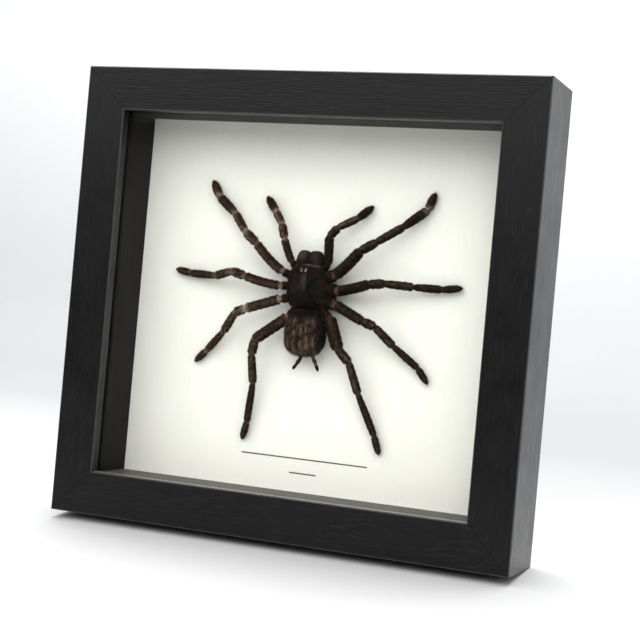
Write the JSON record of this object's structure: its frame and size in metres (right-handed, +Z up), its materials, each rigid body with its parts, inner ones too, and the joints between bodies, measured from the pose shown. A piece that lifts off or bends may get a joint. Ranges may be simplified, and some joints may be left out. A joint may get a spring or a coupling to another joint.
{
  "type": "framed tarantula specimen",
  "caption": "Dried tarantula, legs spread, fixed to a white card inside a deep black box frame with a glass front, which stands on its flat base or hangs on a wall.",
  "frame": {"origin": "middle of the frame's flat underside", "axes": "+Z up the frame, -Y out through the glass, +X to the right as seen from the front"},
  "size_m": [0.25, 0.0446, 0.236],
  "materials": {
    "black_wood": "black stained wood with a fine grain, satin",
    "spacer": "black wood fillet, matt",
    "glass": "clear picture glass",
    "card": "white card with a faint fibrous texture",
    "board": "brown hardboard",
    "steel": "thin sheet steel",
    "hanger_metal": "brass plated steel",
    "carapace": "dried shell with short black hair",
    "abdomen": "long brown hair",
    "chelicera": "dried shell with short brown hair",
    "limb": "dense short dark brown hair",
    "glue": "set glue"
  },
  "bodies": {
    "root": {"frame_rail_top": "black_wood", "frame_rail_bottom": "black_wood", "frame_rail_left": "black_wood", "frame_rail_right": "black_wood", "spacer_top": "spacer", "spacer_bottom": "spacer", "spacer_left": "spacer", "spacer_right": "spacer", "glass_pane": "glass", "mount_card": "card", "backing_board": "board", "tab_top_1": "steel", "tab_top_2": "steel", "tab_bottom_1": "steel", "tab_bottom_2": "steel", "tab_left_1": "steel", "tab_left_2": "steel", "tab_right_1": "steel", "tab_right_2": "steel", "hanger": "hanger_metal", "hanger_nail_left": "hanger_metal", "hanger_nail_right": "hanger_metal", "carapace": "carapace", "abdomen": "abdomen", "chelicera_left": "chelicera", "chelicera_right": "chelicera", "pedipalp_left": "limb", "pedipalp_right": "limb", "leg_left_1": "limb", "leg_left_2": "limb", "leg_left_3": "limb", "leg_left_4": "limb", "leg_right_1": "limb", "leg_right_2": "limb", "leg_right_3": "limb", "leg_right_4": "limb", "spinneret_left": "limb", "spinneret_right": "limb", "glue_dab": "glue"}
  },
  "joints": []
}
